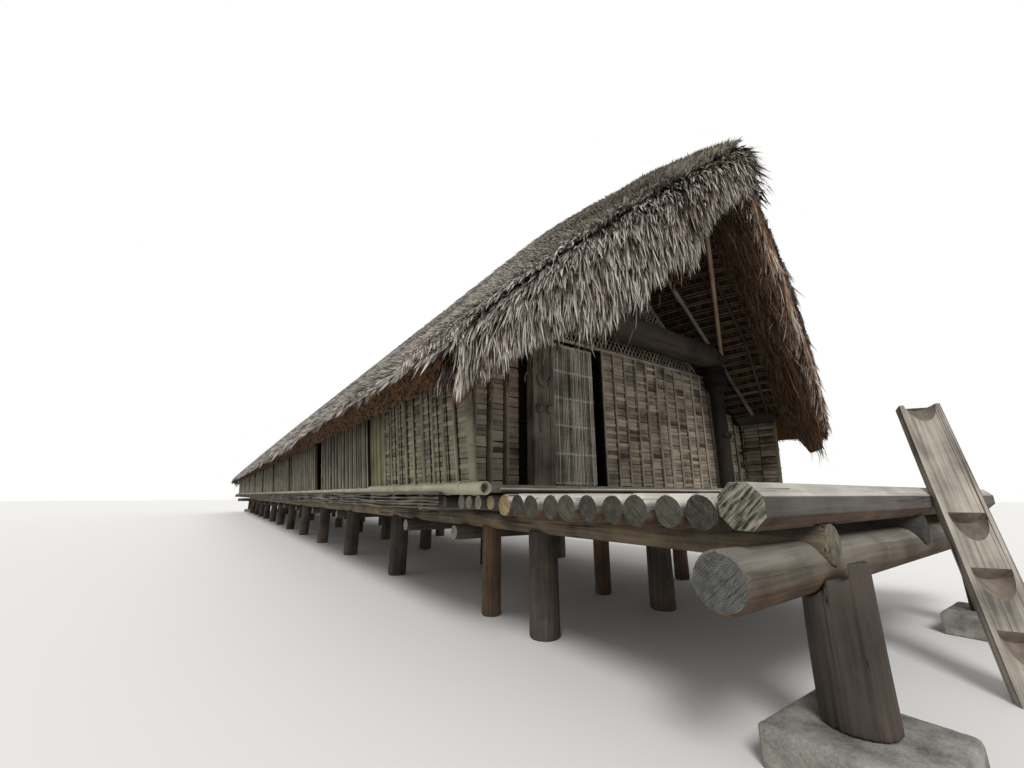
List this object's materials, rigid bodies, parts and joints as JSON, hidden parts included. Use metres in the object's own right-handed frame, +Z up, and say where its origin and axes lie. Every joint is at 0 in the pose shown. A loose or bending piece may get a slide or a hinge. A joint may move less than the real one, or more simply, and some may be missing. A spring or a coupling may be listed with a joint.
{
  "type": "stilt longhouse, scale model 1:2",
  "caption": "Long thatched house on timber stilts with a prow-shaped roof, log decks, notched plank ladders, bamboo mat walls and a sliding door screen.",
  "frame": {"origin": "centre of the bounding box in plan, on the ground the posts stand on", "axes": "+Y along the house from the front deck to the rear one, +X to the right seen from the front, +Z up"},
  "size_m": [3.52, 21.7858, 3.322],
  "materials": {
    "dark_timber": "dark weathered round timber, rough",
    "bleached_timber": "bleached grey deck timber with cracks",
    "bamboo_mat": "flattened bamboo mat, grey-beige, matt",
    "bamboo_pole": "dry bamboo culm, satin",
    "thatch": "weathered grass thatch, rough",
    "concrete": "rough cast concrete"
  },
  "bodies": {
    "house": {"footings": "concrete", "deck_posts": "dark_timber", "carrier_logs": "dark_timber", "floor_beam_left": "dark_timber", "floor_beam_middle": "dark_timber", "floor_beam_right": "dark_timber", "stilts_left": "dark_timber", "stilts_middle": "dark_timber", "stilts_right": "dark_timber", "cross_logs": "dark_timber", "floor_joists": "dark_timber", "bamboo_floor": "bamboo_mat", "deck_logs_front": "bleached_timber", "deck_logs_rear": "bleached_timber", "edge_logs": "bleached_timber", "ladders": "bleached_timber", "sill_rails": "bamboo_pole", "side_wall_left": "bamboo_mat", "side_wall_right": "bamboo_mat", "window_mats": "bamboo_mat", "corner_poles": "bamboo_pole", "wing_walls": "bamboo_mat", "front_wall": "bamboo_mat", "rear_wall": "bamboo_mat", "rear_door": "bamboo_mat", "gable_rails": "bamboo_pole", "gable_lattices": "bamboo_mat", "plank_posts": "dark_timber", "pot_posts": "dark_timber", "inner_posts": "dark_timber", "tie_beams_end": "dark_timber", "tie_beams_inner": "dark_timber", "roof_plates": "dark_timber", "eave_plates": "bamboo_pole", "king_posts": "dark_timber", "ridge_pole": "dark_timber", "rafters_left": "dark_timber", "rafters_right": "dark_timber", "prow_struts": "bamboo_pole", "thatch_left": "thatch", "thatch_right": "thatch", "ridge_thatch": "thatch"},
    "front_door": {"front_door": "bamboo_mat"}
  },
  "joints": [
    {"name": "front_door_slide", "type": "slide", "parent": "house", "child": "front_door", "axis": [1, 0, 0], "range_m": [0, 0.545]}
  ]
}
